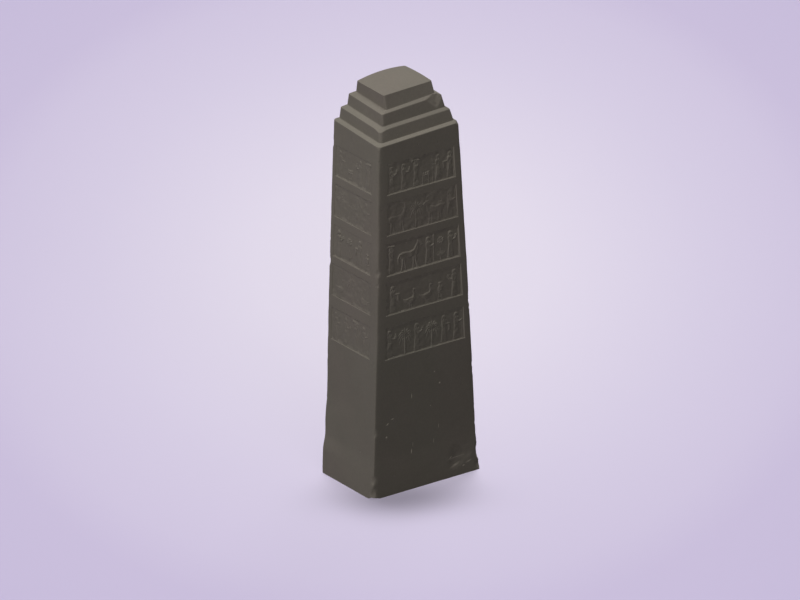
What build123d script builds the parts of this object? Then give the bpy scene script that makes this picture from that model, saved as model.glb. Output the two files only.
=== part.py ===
from build123d import *
import math
import os

# Stepped obelisk: one block of dark limestone, a four-sided tapered shaft under a crown of three stages.
#
# Millimetres, +Z up. The origin is at the middle of the underside, at ground level. The broad faces look
# along -Y (front) and +Y (back), the narrow faces along -X (left) and +X (right). The near arris is the one
# between the front and the left face.

# ---- overall --------------------------------------------------------------------------------------------
HEIGHT = 1980.0            # ground to the crest of the cap

# ---- shaft: sizes of its plain tapering planes ----------------------------------------------------------
GROUND_WIDTH = 596.5       # broad faces, where their planes meet the ground
GROUND_DEPTH = 393.5       # narrow faces, likewise
MIDDLE_DROP = 890.5        # from the shoulder down to where the narrow faces start to taper
MIDDLE_DEPTH = 397.0       # narrow faces at that height
SHOULDER_WIDTH = 452.0
SHOULDER_DEPTH = 367.2
FOOT_HEIGHT = 190.0        # the block spreads a little below this
FOOT_SPREAD = (9.5, 6.0)   # by this much on each side at the ground, along X and Y
GROUND_RADIUS = 7.0        # worn rounding of the four arrises, at the ground
SHOULDER_RADIUS = 11.0     # and at the shoulder

# ---- crown: three stages, each stepping in over a ledge that falls outward ------------------------------
# each stage: ledge's plan width left and right, the same front and back, ledge's rise to the stage's foot
LEDGES = ((20.3, 17.5, 7.5), (21.7, 14.3, 10.9), (30.5, 13.9, 12.2))
SHOULDER_RIM = 2.5         # narrow level rim round the shoulder, outside the first ledge
STAGE_RISE = 55.5          # height of the two lower stages above their ledge
STAGE_BATTER = 8.4         # how far each side of a stage leans in over that rise
STAGE_RADIUS = 6.0         # worn corners of the stages
SHOULDER_LEAN = (0.0437, 0.0708)  # slope of the lower stages' edges along X and Y: lowest at the near arris
CAP_LEAN = (0.0729, 0.0748)       # slope of the cap's foot, the same way
# the stages are not quite centred on the shaft: how far each foot and top edge sits to the right and back
STAGE_SHIFTS = ((3.0, 1.5), (-2.0, 2.5), (3.0, 2.5), (-2.0, 2.5), (0.0, 2.5))
CAP_SHIFT = (-5.0, 2.5)    # the same for the corners of the cap's top
CAP_BATTER = (2.4, 15.2)   # how far the cap's sides lean in up to those corners, along X and Y
CAP_RISE = 74.9            # the cap's foot to its crest, at the middle of the block
# the cap's worn top: how far its corners lie below the crest, front left and right, then back left and right
CAP_FALLS = (24.3, 14.3, 18.5, 7.5)

# ground to the shoulder, at the middle of the block: what the crown leaves of the height
SHAFT_HEIGHT = HEIGHT - CAP_RISE - 2 * STAGE_RISE - sum(ledge[2] for ledge in LEDGES)
MIDDLE_HEIGHT = SHAFT_HEIGHT - MIDDLE_DROP

# ---- registers: sunk fields for the carved figures, five on each face, top one first ---------------------
# from the shoulder down to each field's top and bottom edge
REGISTER_DROPS = ((115.5, 266.5), (306.5, 466.5), (507.5, 665.5), (703.5, 860.5), (919.5, 1079.5))
REGISTER_DEPTH = 5.5       # how deep the field is sunk
REGISTER_MARGIN = 45.0     # plain border between the field and the arris, broad faces
SIDE_REGISTER_MARGIN = 42.0  # the same, narrow faces
REGISTER_SHIFT = 7.0       # the fields of the broad faces sit this much towards the right face
SIDE_REGISTER_SHIFT = 12.0  # the fields of the narrow faces sit this much towards the back face

# ---- losses: shallow shell-shaped scars (length across, depth) -------------------------------------------
# arris scars: which arris by its signs of X and Y, drop from the shoulder to the middle, length, bite
ARRIS_SCARS = (
    ((-1, -1), 639.5, 46.0, 9.0),
    ((-1, -1), 698.5, 26.0, 6.0),
    ((-1, 1), 694.5, 52.0, 6.0),
    ((1, -1), 885.5, 120.0, 4.0),
    ((1, 1), 1123.5, 90.0, 9.0),
)
# the same near the ground, by their height above it
LOW_ARRIS_SCARS = (
    ((-1, -1), 330.0, 46.0, 6.0),
    ((-1, -1), 100.0, 30.0, 2.5),
    ((1, -1), 96.0, 62.0, 5.0),
)
FOOT_SCAR = (150.0, 10.0)       # the underside's near corner is worn away
FOOT_SPALL = (110.0, 2.5)       # thin flake off the front, low down towards the right arris
FOOT_SPALL_PLACE = (112.0, 68.0)  # inward from the right arris, and up from the ground
FIRST_STAGE_SCAR = (60.0, 13.0)   # near corner of the first stage
SHOULDER_SCAR = (62.0, 11.0)    # front right corner of the shoulder
# three-cornered spall in the front of the second stage, widest at the edge above and closing to an apex below
NOTCH_INSET = 36.0         # apex, inward from the stage's right corner
NOTCH_SLOPE = 18.0         # degrees that its deepest line leans inward
NOTCH_WALLS = (11.5, 16.0) # degrees that its left and right wall come forward from that line
NOTCH_REACH = (60.0, 60.0) # room for the walls: to each side of that line, and forward


def shaft_size(z):
    """Width and depth of the shaft's plain tapering planes at height z."""
    width = GROUND_WIDTH + (SHOULDER_WIDTH - GROUND_WIDTH) * z / SHAFT_HEIGHT
    if z < MIDDLE_HEIGHT:
        depth = GROUND_DEPTH + (MIDDLE_DEPTH - GROUND_DEPTH) * z / MIDDLE_HEIGHT
    else:
        share = (z - MIDDLE_HEIGHT) / (SHAFT_HEIGHT - MIDDLE_HEIGHT)
        depth = MIDDLE_DEPTH + (SHOULDER_DEPTH - MIDDLE_DEPTH) * share
    return width, depth


def foot_size():
    """Width and depth of the underside."""
    return GROUND_WIDTH + 2 * FOOT_SPREAD[0], GROUND_DEPTH + 2 * FOOT_SPREAD[1]


def arris_radius(z):
    """Worn rounding of the shaft's arrises at height z."""
    return GROUND_RADIUS + (SHOULDER_RADIUS - GROUND_RADIUS) * z / SHAFT_HEIGHT


def crown_rings():
    """The crown's edges up to the cap's foot: each is (height, width, depth), ledge and stage in turn."""
    rings = []
    z, width, depth = SHAFT_HEIGHT, SHOULDER_WIDTH, SHOULDER_DEPTH
    for ledge_width, ledge_depth, ledge_rise in LEDGES:
        if rings:
            z += STAGE_RISE
            width -= 2 * STAGE_BATTER
            depth -= 2 * STAGE_BATTER
            rings.append((z, width, depth))
        z += ledge_rise
        width -= 2 * ledge_width
        depth -= 2 * ledge_depth
        rings.append((z, width, depth))
    return rings


def lean_at(z):
    """Slope along X and Y of the edge plane at height z: it turns steeper over the ledge under the cap."""
    ledge_z, cap_foot = [ring[0] for ring in crown_rings()[-2:]]
    share = min(max((z - ledge_z) / (cap_foot - ledge_z), 0), 1)
    return tuple(low + (high - low) * share for low, high in zip(SHOULDER_LEAN, CAP_LEAN))


def edge_plane(z):
    """The leaning plane that a crown edge lies in."""
    slope_x, slope_y = lean_at(z)
    return Plane(origin=(0, 0, z), x_dir=(1, 0, slope_x), z_dir=(-slope_x, -slope_y, 1))


def edge_height(z, x, y):
    """Height at a place in plan of the crown edge whose height in the middle is z."""
    slope_x, slope_y = lean_at(z)
    return z + slope_x * x + slope_y * y


def section(plane, width, depth, radius, shift=(0, 0)):
    """One rounded rectangle across the block."""
    return plane * Pos(*shift) * RectangleRounded(width, depth, radius)


def make_shaft():
    """Foot and tapered shaft, cut off by the shoulder's leaning plane."""
    sections = [section(Plane.XY, *foot_size(), GROUND_RADIUS)]
    over_shoulder = SHAFT_HEIGHT + SHOULDER_WIDTH / 4
    for z in (FOOT_HEIGHT, MIDDLE_HEIGHT, over_shoulder):
        sections.append(section(Plane.XY.offset(z), *shaft_size(z), arris_radius(z)))
    block = loft(sections, ruled=True)
    return split(block, bisect_by=edge_plane(SHAFT_HEIGHT), keep=Keep.BOTTOM)


def cap_size(z):
    """Width and depth of the cap at height z."""
    foot_z, foot_width, foot_depth = crown_rings()[-1]
    share = (z - foot_z) / (CAP_RISE - sum(CAP_FALLS) / len(CAP_FALLS))
    return foot_width - 2 * share * CAP_BATTER[0], foot_depth - 2 * share * CAP_BATTER[1]


def cap_top(across, back):
    """Height of the cap's top. Across runs from -1 left to 1 right, back from 0 at the front edge to 1."""
    front_left, front_right, back_left, back_right = CAP_FALLS
    front = front_left + (front_right - front_left) * (across + 1) / 2
    # the back edge is an arch whose highest place is the crest
    arch = ((back_left + back_right) / 2 + math.sqrt(back_left * back_right)) / 2
    rear = back_left + (back_right - back_left) * (across + 1) / 2 - arch * (1 - across**2)
    return HEIGHT - front * (1 - back) - rear * back


def cap_roof(width, depth, floor_z):
    """Everything under the cap's top, for a top of this size: straight in front, arched at the back."""
    margin = 0.1  # share of the size that it runs past the top on each side
    profiles = []
    for back in (-margin, 1 + margin):
        y = (back - 0.5) * depth
        places = [(across * width / 2, across) for across in (-1 - 2 * margin, 0, 1 + 2 * margin)]
        ridge = [(x, y, cap_top(across, back)) for x, across in places]
        right, left = (places[-1][0], y, floor_z), (places[0][0], y, floor_z)
        profiles.append(make_face(Spline(*ridge) + Polyline(ridge[-1], right, left, ridge[0])))
    return loft(profiles, ruled=True)


def make_crown():
    """Three stages on their sloping ledges, the last one under its worn top."""
    rim = 2 * SHOULDER_RIM
    width, depth = SHOULDER_WIDTH - rim, SHOULDER_DEPTH - rim
    sections = [section(edge_plane(SHAFT_HEIGHT), width, depth, SHOULDER_RADIUS)]
    for (z, width, depth), shift in zip(crown_rings(), STAGE_SHIFTS):
        sections.append(section(edge_plane(z), width, depth, STAGE_RADIUS, shift))
    stages = loft(sections, ruled=True)
    over_crest = HEIGHT + CAP_FALLS[0]
    top = section(Plane.XY.offset(over_crest), *cap_size(over_crest), STAGE_RADIUS, CAP_SHIFT)
    cap = loft([sections[-1], top], ruled=True)
    roof = Pos(*CAP_SHIFT) * cap_roof(*cap_size(HEIGHT), SHAFT_HEIGHT)
    return stages, cap & roof


def register_cutter(low, high, broad, shift):
    """What a register removes from the front face if broad, else from a narrow face turned to face -Y."""
    slabs = []
    for z in (low, high):
        across, through = shaft_size(z) if broad else reversed(shaft_size(z))
        field = across - 2 * (REGISTER_MARGIN if broad else SIDE_REGISTER_MARGIN)
        slabs.append(Pos(shift, -through / 2, z) * Rectangle(field, 2 * REGISTER_DEPTH))
    return loft(slabs, ruled=True)


def register_cutters():
    """Five sunk fields on each of the four faces."""
    faces = (
        (0, True, REGISTER_SHIFT),
        (90, False, SIDE_REGISTER_SHIFT),
        (180, True, -REGISTER_SHIFT),
        (270, False, -SIDE_REGISTER_SHIFT),
    )
    cutters = []
    for top, bottom in REGISTER_DROPS:
        low, high = SHAFT_HEIGHT - bottom, SHAFT_HEIGHT - top
        for turn, broad, shift in faces:
            cutters.append(Rot(0, 0, turn) * register_cutter(low, high, broad, shift))
    return cutters


def shell_cutter(point, outward, length, bite):
    """A ball that takes a shell-shaped scar of this length and depth out of the block at the point."""
    radius = length**2 / (8 * bite) + bite / 2
    away = Vector(*outward).normalized() * (radius - bite)
    centre = Vector(*point) + away
    return Pos(centre.X, centre.Y, centre.Z) * Sphere(radius)


def arris_point(z, signs):
    """Where two faces would meet at height z."""
    width, depth = shaft_size(z)
    return (signs[0] * width / 2, signs[1] * depth / 2, z)


def scar_cutters():
    """Every loss in the stone."""
    cutters = []
    scars = [(signs, SHAFT_HEIGHT - drop, *size) for signs, drop, *size in ARRIS_SCARS]
    for signs, z, length, bite in scars + list(LOW_ARRIS_SCARS):
        worn = arris_radius(z) * (math.sqrt(2) - 1)
        point = Vector(*arris_point(z, signs)) - Vector(*signs, 0).normalized() * worn
        cutters.append(shell_cutter(point, (*signs, 0), length, bite))
    near_foot = (-foot_size()[0] / 2, -foot_size()[1] / 2, 0)
    cutters.append(shell_cutter(near_foot, (-0.6, -0.6, -1), *FOOT_SCAR))
    inward, up = FOOT_SPALL_PLACE
    spall_width, spall_depth = shaft_size(up)
    cutters.append(shell_cutter((spall_width / 2 - inward, -spall_depth / 2, up), (0, -1, 0), *FOOT_SPALL))
    z, width, depth = crown_rings()[1]
    corner = (-width / 2, -depth / 2, edge_height(z, -width / 2, -depth / 2))
    cutters.append(shell_cutter(corner, (-0.6, -1, 0.9), *FIRST_STAGE_SCAR))
    x, y = SHOULDER_WIDTH / 2, -SHOULDER_DEPTH / 2
    cutters.append(shell_cutter((x, y, edge_height(SHAFT_HEIGHT, x, y)), (1, -1, 1), *SHOULDER_SCAR))
    return cutters


def notch_cutter():
    """What the three-cornered spall removes from the second stage."""
    z, width, depth = crown_rings()[2]
    shift_x, shift_y = STAGE_SHIFTS[2]
    x, y = shift_x + width / 2 - NOTCH_INSET, shift_y - depth / 2
    slope = math.radians(NOTCH_SLOPE)
    apex = (x, y, edge_height(z, x, y))
    across = Plane(origin=apex, x_dir=(1, 0, 0), z_dir=(0, math.sin(slope), math.cos(slope)))
    side, forward = NOTCH_REACH
    left, right = (-side * math.tan(math.radians(wall)) for wall in NOTCH_WALLS)
    outline = Polyline((0, 0), (side, right), (side, -forward), (-side, -forward), (-side, left), close=True)
    # it stops just under the top of the ledge, clear of the cap
    rise = STAGE_RISE + 0.75 * LEDGES[2][2]
    return extrude(across * make_face(outline), rise / math.cos(slope))


def make_monolith():
    """The whole stone."""
    stages, cap = make_crown()
    block = make_shaft() + stages + cap
    block -= register_cutters()
    block -= scar_cutters() + [notch_cutter()]
    return block


os.makedirs("parts", exist_ok=True)
monolith = make_monolith()
export_step(monolith, "parts/monolith.step")
box = monolith.bounding_box()
print("solids", len(monolith.solids()), "volume litres", round(monolith.volume / 1e6, 2))
print("low", box.min, "high", box.max)
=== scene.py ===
import math
import bpy
import numpy as np
from mathutils import Matrix, Vector


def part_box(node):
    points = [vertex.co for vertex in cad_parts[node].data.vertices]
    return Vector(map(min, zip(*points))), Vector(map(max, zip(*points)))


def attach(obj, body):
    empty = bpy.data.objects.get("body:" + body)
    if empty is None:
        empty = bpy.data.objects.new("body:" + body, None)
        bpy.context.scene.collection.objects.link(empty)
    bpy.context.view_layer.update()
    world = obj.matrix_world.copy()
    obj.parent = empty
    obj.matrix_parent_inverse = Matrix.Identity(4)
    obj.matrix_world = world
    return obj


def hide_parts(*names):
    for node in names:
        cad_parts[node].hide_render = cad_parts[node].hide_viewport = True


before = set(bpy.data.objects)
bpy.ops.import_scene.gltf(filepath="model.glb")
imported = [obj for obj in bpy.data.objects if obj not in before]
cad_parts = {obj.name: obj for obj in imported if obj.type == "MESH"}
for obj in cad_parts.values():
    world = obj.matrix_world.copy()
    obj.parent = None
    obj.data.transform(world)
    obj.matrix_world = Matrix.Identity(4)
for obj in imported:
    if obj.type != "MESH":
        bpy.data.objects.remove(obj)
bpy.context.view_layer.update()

# A stepped obelisk of dark limestone, in metres. The block and the carved fields of its twenty registers are
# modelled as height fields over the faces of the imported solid. Faces are numbered counter-clockwise seen from
# above: 0 front (-Y), 1 right (+X), 2 back (+Y), 3 left (-X).

# ---- the block, from the frame and from the part's own sizes ----
LOW, HIGH = (np.array(corner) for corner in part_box("monolith"))
HEIGHT = HIGH[2] - LOW[2]
SHAFT_HEIGHT = 1.7635
FOOT_SPREAD = np.array([0.0095, 0.006])
FOOT_HEIGHT = 0.19
GROUND_HALF = (HIGH[:2] - LOW[:2]) / 2 - FOOT_SPREAD
MIDDLE_HEIGHT = 0.873  # where the narrow faces start to taper
MIDDLE_HALF_DEPTH = 0.1985
SHOULDER_HALF = np.array([0.226, 0.1836])
# crown: ledge's plan width left and right, the same front and back, its rise to the stage's foot
LEDGES = ((0.0203, 0.0175, 0.0075), (0.0217, 0.0143, 0.0109), (0.0305, 0.0139, 0.01))
STAGE_RISES = (0.0555, 0.0577)  # height of the two lower stages
STAGE_BATTER = 0.0084  # how far their sides lean in
CAP_BATTER = (0.0024, 0.0152)  # the same for the cap, along X and Y
# slopes of the two lower stages' edges, of the second one's top edge and of the cap's foot: along X, along Y
LEANS = ((0.0437, 0.0585, 0.0729), (0.0708, 0.0708, 0.0748))
# the slope eases in from this far above the top register to this far below the shoulder
LEAN_EASE = (0.008, 0.006)
# how far the crown's levels, from the shoulder up, stand off the block's middle: along X, along Y
CROWN_SHIFTS = ((0.0, 0.003, -0.002, 0.003, -0.002, 0.0, -0.005),
                (0.0, 0.0015, 0.0025, 0.0025, 0.0025, 0.0025, 0.0025))
# the cap's corners below its crest: left and right in front, left and right at the back
CAP_FALLS = ((0.0243, 0.0143), (0.0185, 0.0075))
BACK_ARCH = 0.0124  # how far its back edge arches
RIGHT_ARCH = 0.004  # and its right edge
CREST_GAP = 0.0005  # its crest stays this far under the solid's
DOME_START = 0.93  # the cap's side ends at this share of its height, where its worn edge begins
EDGE_DROPS = (0.0015, 0.0012)  # how far the side's last row and the dome's first ring lie under the dome

# ---- registers ----
REGISTERS = ((1.497, 1.648), (1.297, 1.457), (1.098, 1.256), (0.903, 1.06), (0.684, 0.844))
MARGINS = (0.045, 0.042)  # plain border beside a field, on the broad and on the narrow faces
SHIFTS = (0.007, 0.012)  # how far the fields sit to the right, or back on the narrow faces
SINK = 0.0055  # depth of a field's floor
# how far the field's floor takes to rise into the border: at its top, its left, its foot and its right
FIELD_EASES = (0.02, 0.022, 0.005, 0.0042)
SIDE_FIELD_EASES = (0.0024, 0.012, 0.005, 0.0075)
SIDE_CRISPNESS = 1.3  # how much stronger the narrow faces' relief is shaded
BORDER_LEVEL = 0.88  # height of a field's rim over its floor, as a share of SINK
# how much of the carving's depth is left, register by register, on the broad and on the narrow faces
KEPT = ((0.58, 0.36, 0.8, 0.6, 0.6), (0.72, 0.3, 0.95, 0.42, 0.5))
WEAR = ((0.22, 0.018, 11), (0.18, 0.055, 12))  # share worn off unevenly, size of its patches, seed
LEAST_LEFT = 0.3  # share of the depth that is left where the wear is worst
FLUSH_RIM = 0.005  # the narrow faces' upper rims are unworn over this width
FIGURE_HEIGHT = 0.9  # as a share of the register's
# the block's pocket behind a field: its lip round the rim, run of its walls, and depth behind the floor
LIP = 0.0012
WALL_RUN = 0.0016
POCKET = 0.0025
SLAB_BACK = 0.004  # the field's own slab reaches this much further back

# ---- how the stone is dressed and worn ----
# layers of noise: depth, size, seed
SURFACE = ((0.0008, 0.3, 1), (0.0004, 0.085, 2), (0.00025, 0.028, 3))
TOOL_MARKS = ((0.00022, 0.009, 13),)
RIM_WAVER = ((0.0011, 0.01, 51), (0.0009, 0.03, 52))
NOTCH_ROUGHNESS = ((0.0006, 0.011, 41), (0.0005, 0.005, 42))
NEAR, FRONT_RIGHT, BACK_RIGHT, BACK_LEFT = range(4)  # the arrises; the near one is front left
SIGNS = np.array(((-1, -1), (1, -1), (1, 1), (-1, 1)))
# rounding of each arris at these heights
ARRIS_HEIGHTS = (0.55, 0.75, 1.1, 1.6, 1.77)
ARRIS_RADII = ((0.006, 0.007, 0.009, 0.009, 0.01), (0.006, 0.007, 0.007, 0.007, 0.01),
               (0.01, 0.011, 0.012, 0.013, 0.014), (0.007, 0.007, 0.007, 0.007, 0.012))
STAGE_RADII = (0.009, 0.0045, 0.008, 0.0045)
RADIUS_VARIES = 0.22  # by this share, up and down an arris
NEAR_ROUNDER = 0.7  # the first stage's near corner is rounder by this share
DOME_CORNERS = 0.09  # rounding of the dome's rings, as a share of their smaller half size
LEVEL_ROUNDING = (0.0012, 0.0026)  # rounding of the crown's inner and outer edges
# the borders round off towards the arrises: how far, how much further at the near one, and over what width
PILLOW = (0.0008, 0.0014, 0.04)
# the left face swells towards the ground: how far, and from which height down to which
FOOT_SWELLS = ((0.006, 0.43, 0.27), (0.0085, 0.212, 0.118))
# scars: arris, height, length, bite
ARRIS_SCARS = (
    (NEAR, 1.124, 0.046, 0.009), (NEAR, 1.065, 0.026, 0.006), (NEAR, 0.33, 0.046, 0.006),
    (NEAR, 0.1, 0.03, 0.0025), (BACK_LEFT, 1.069, 0.052, 0.006), (FRONT_RIGHT, 0.878, 0.12, 0.004),
    (FRONT_RIGHT, 0.096, 0.062, 0.005), (BACK_RIGHT, 0.64, 0.09, 0.009),
)
# single scars: which way they face, length, bite
FOOT_SCAR = ((-0.45, -0.45, -1), 0.195, 0.0155)  # under the near corner
STAGE_SCAR = ((-0.6, -1, 0.9), 0.06, 0.009)  # on the first stage's near corner
SHOULDER_SCAR = ((1, -1, 1), 0.062, 0.011)  # on the shoulder's front right corner
STAGE_SAG = (0.06, 0.012)  # how far round it the first stage's near corner sags, and how deep
# flakes off the front's foot: inward from the right arris, height, length, bite
FOOT_SPALLS = ((0.112, 0.072, 0.085, 0.0022), (0.07, 0.086, 0.055, 0.002), (0.145, 0.05, 0.05, 0.0018))
# small nicks: arris, between which heights, how many
NICKS = (
    (NEAR, 0.03, 1.72, 7), (FRONT_RIGHT, 0.03, 0.62, 9), (FRONT_RIGHT, 0.6, 1.72, 4),
    (BACK_RIGHT, 0.03, 1.72, 10), (BACK_LEFT, 0.03, 1.72, 9),
)
# the second stage's spall: apex in from the corner, slope of its spine, and turn of its left and right walls
NOTCH_INSET = 0.036
NOTCH_SLOPE = math.radians(18)
NOTCH_WALLS = (math.radians(8.5), math.radians(-16.0))

# ---- mesh density ----
ROW_STEP = 0.0065
LOW_ROW_STEP = 0.008  # below the registers
CROWN_STEP = 0.0042
FIELD_STEP = 0.002
FIELD_COLUMNS = (50, 36)  # of the block behind a register, on the broad and on the narrow faces
BORDER_COLUMNS = 4
BEND_STEPS = 4  # over a rounded edge of the crown
ARC_STEPS = 6  # round an arris
CAP_SIDE_ROWS = 11
DOME_RINGS = np.linspace(0.012, 0.96, 26)  # how far in each ring of the dome lies


# ======== noise and small helpers ========

def smooth_step(value, low, high):
    share = np.clip((value - low) / (high - low), 0, 1)
    return share * share * (3 - 2 * share)


def lattice(cell, seed):
    """A fixed random number from -1 to 1 for each whole-number cell of space."""
    cell = cell.astype(np.int64).astype(np.uint32)
    mixed = cell[..., 0] * np.uint32(73856093) ^ cell[..., 1] * np.uint32(19349663)
    mixed ^= cell[..., 2] * np.uint32(83492791) ^ np.uint32(seed * 40503 + 977)
    for _ in range(2):
        mixed ^= mixed >> np.uint32(15)
        mixed *= np.uint32(2246822519)
    mixed ^= mixed >> np.uint32(13)
    return mixed.astype(np.float64) / 2**31 - 1


def noise(points, size, seed):
    """Smooth noise from -1 to 1 with features about this many metres across."""
    scaled = points / size
    cell = np.floor(scaled)
    blend = smooth_step(scaled - cell, 0, 1)
    total = 0.0
    for corner in np.ndindex(2, 2, 2):
        total = total + np.where(corner, blend, 1 - blend).prod(axis=-1) * lattice(cell + corner, seed)
    return total


def waves(points, layers):
    """Noise in layers, each given as its depth, its size and its seed."""
    return sum(depth * noise(points, size, seed) for depth, size, seed in layers)


def show(name, data):
    """An object with this data, linked into the scene."""
    shown = bpy.data.objects.new(name, data)
    bpy.context.scene.collection.objects.link(shown)
    return shown


def fan(first, second, tip):
    """Triangles from the edges between two rows of places to one tip."""
    return [[int(a), int(b), tip] for a, b in zip(first, second)]


def new_piece(name, vertices, faces, material, sharp_angle=38.0):
    """A shown mesh that rides on the one body."""
    mesh = bpy.data.meshes.new(name)
    mesh.from_pydata(np.asarray(vertices).reshape(-1, 3).tolist(), [], faces)
    mesh.validate()
    mesh.shade_smooth()
    mesh.set_sharp_from_angle(angle=math.radians(sharp_angle))
    mesh.materials.append(material)
    piece = show(name, mesh)
    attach(piece, "root")
    return piece


# ======== the block ========

# each face's direction along it and its direction outward
TURNS = [np.array(turn) for turn in ((1.0, 0.0), (0.0, 1.0), (-1.0, 0.0), (0.0, -1.0))]
FACES = [(TURNS[face], TURNS[face - 1]) for face in range(4)]


def shaft_half(z):
    """Half width and half depth of the shaft's plain planes at height z."""
    z = np.asarray(z, float)
    width = GROUND_HALF[0] + (SHOULDER_HALF[0] - GROUND_HALF[0]) * z / SHAFT_HEIGHT
    levels = (0.0, MIDDLE_HEIGHT, SHAFT_HEIGHT)
    depth = np.interp(z, levels, (GROUND_HALF[1], MIDDLE_HALF_DEPTH, SHOULDER_HALF[1]))
    return np.stack([width, depth], axis=-1)


def crown_levels():
    """The crown's edges from the shoulder up, as (height, half width, half depth)."""
    z = SHAFT_HEIGHT
    half = SHOULDER_HALF.copy()
    levels = [(z, *half)]
    for index, (ledge_width, ledge_depth, ledge_rise) in enumerate(LEDGES):
        z += ledge_rise
        half = half - (ledge_width, ledge_depth)
        levels.append((z, *half))
        cap = index == len(LEDGES) - 1
        z = HEIGHT if cap else z + STAGE_RISES[index]
        half = half - (CAP_BATTER if cap else STAGE_BATTER)
        levels.append((z, *half))
    return levels


CROWN = crown_levels()


def cap_top(plan):
    """Height of the cap's worn top: almost level in front, arched from left to right at the back."""
    half_width, half_depth = CROWN[-1][1:]
    across = (plan[..., 0] - CROWN_SHIFTS[0][-1]) / half_width
    back = ((plan[..., 1] - CROWN_SHIFTS[1][-1]) / half_depth + 1) / 2
    front_fall, back_fall = (left + (right - left) * (across + 1) / 2 for left, right in CAP_FALLS)
    back_fall = back_fall - BACK_ARCH * (1 - across**2)
    swell = RIGHT_ARCH * 4 * back * (1 - back) * (across + 1) / 2
    return HEIGHT - CREST_GAP - (front_fall * (1 - back) + back_fall * back) + swell


def lean_at(z):
    """Slope along X and Y of the crown's edges at height z, easing in above the top register."""
    heights = [level[0] for level in CROWN[-4:-1]]
    lean = np.stack([np.interp(z, heights, slopes) for slopes in LEANS], axis=-1)
    return lean * smooth_step(z, REGISTERS[0][1] + LEAN_EASE[0], SHAFT_HEIGHT - LEAN_EASE[1])[..., None]


def face_border(face, z):
    """Where a register's field starts and ends across a face at height z."""
    half = shaft_half(z)[..., face % 2]
    margin = MARGINS[face % 2]
    shift = SHIFTS[face % 2] * (1 if face < 2 else -1)
    return -half + margin + shift, half - margin + shift


def spaced(start, end, step):
    """Heights from start up to but not including end, about a step apart."""
    count = max(1, round((end - start) / step))
    return list(np.linspace(start, end, count, endpoint=False))


def shaft_rows():
    """Heights of the block's rows up to the shoulder, and how far each is sunk inside a register."""
    heights, sunk = [], []
    at = 0.0
    for low, high in sorted(REGISTERS):
        plain = spaced(at, low - LIP, ROW_STEP if at else LOW_ROW_STEP)
        field = spaced(low + WALL_RUN, high - WALL_RUN, ROW_STEP) + [high - WALL_RUN]
        heights += plain + [low - LIP, low] + field + [high]
        sunk += [0.0] * len(plain) + [0.0, LIP] + [SINK + POCKET] * len(field) + [LIP]
        at = high + LIP
    return heights + spaced(at, SHAFT_HEIGHT - 0.004, ROW_STEP), sunk


def crown_rows():
    """Rows of the crown as (height, half width, half depth), with its outer edges a little rounded."""
    below = SHAFT_HEIGHT - 0.03  # any height of the shaft near the shoulder
    path = [np.array([below, *shaft_half(below)])] + [np.array(level) for level in CROWN]
    rows = []
    for index in range(1, len(path) - 1):
        before, corner, after = path[index - 1:index + 2]
        reach = LEVEL_ROUNDING[index % 2]
        into, out = ((end - corner) / np.linalg.norm(end - corner) * reach for end in (before, after))
        bend = [corner + into * (1 - t) ** 2 + out * t**2 for t in np.linspace(0, 1, BEND_STEPS + 1)]
        if rows:
            start = rows[-1]
            count = max(2, round(np.linalg.norm(bend[0] - start) / CROWN_STEP))
            shares = np.linspace(0, 1, count, endpoint=False)[1:]
            rows += [start + (bend[0] - start) * share for share in shares]
        rows += bend
    return rows, path[-1]


def block_columns(face, half, radii, borders):
    """Positions across one face for every row, and how far each column is sunk inside a register."""
    start = -half[:, None] + radii[0][:, None]
    end = half[:, None] - radii[1][:, None]
    low, high = borders[0][:, None], borders[1][:, None]
    inner = FIELD_COLUMNS[face % 2]
    edge = np.linspace(0, 1, BORDER_COLUMNS + 1)[None, :]
    field = np.linspace(0, 1, inner + 1)[None, :]
    low_foot, high_foot = low + WALL_RUN, high - WALL_RUN
    parts = [
        start + (low - LIP - start) * edge[:, :-1],
        low - LIP,
        low,
        low_foot + (high_foot - low_foot) * field,
        high,
        high + LIP + (end - high - LIP) * edge,
    ]
    plain = [0.0] * (BORDER_COLUMNS + 1)
    depth = plain + [LIP] + [SINK + POCKET] * (inner + 1) + [LIP] + plain
    return np.concatenate(parts, axis=1), np.array(depth)


def arris_radius(corner, z):
    """Rounding of an arris of the shaft at height z."""
    return np.interp(z, ARRIS_HEIGHTS, ARRIS_RADII[corner])


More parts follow.
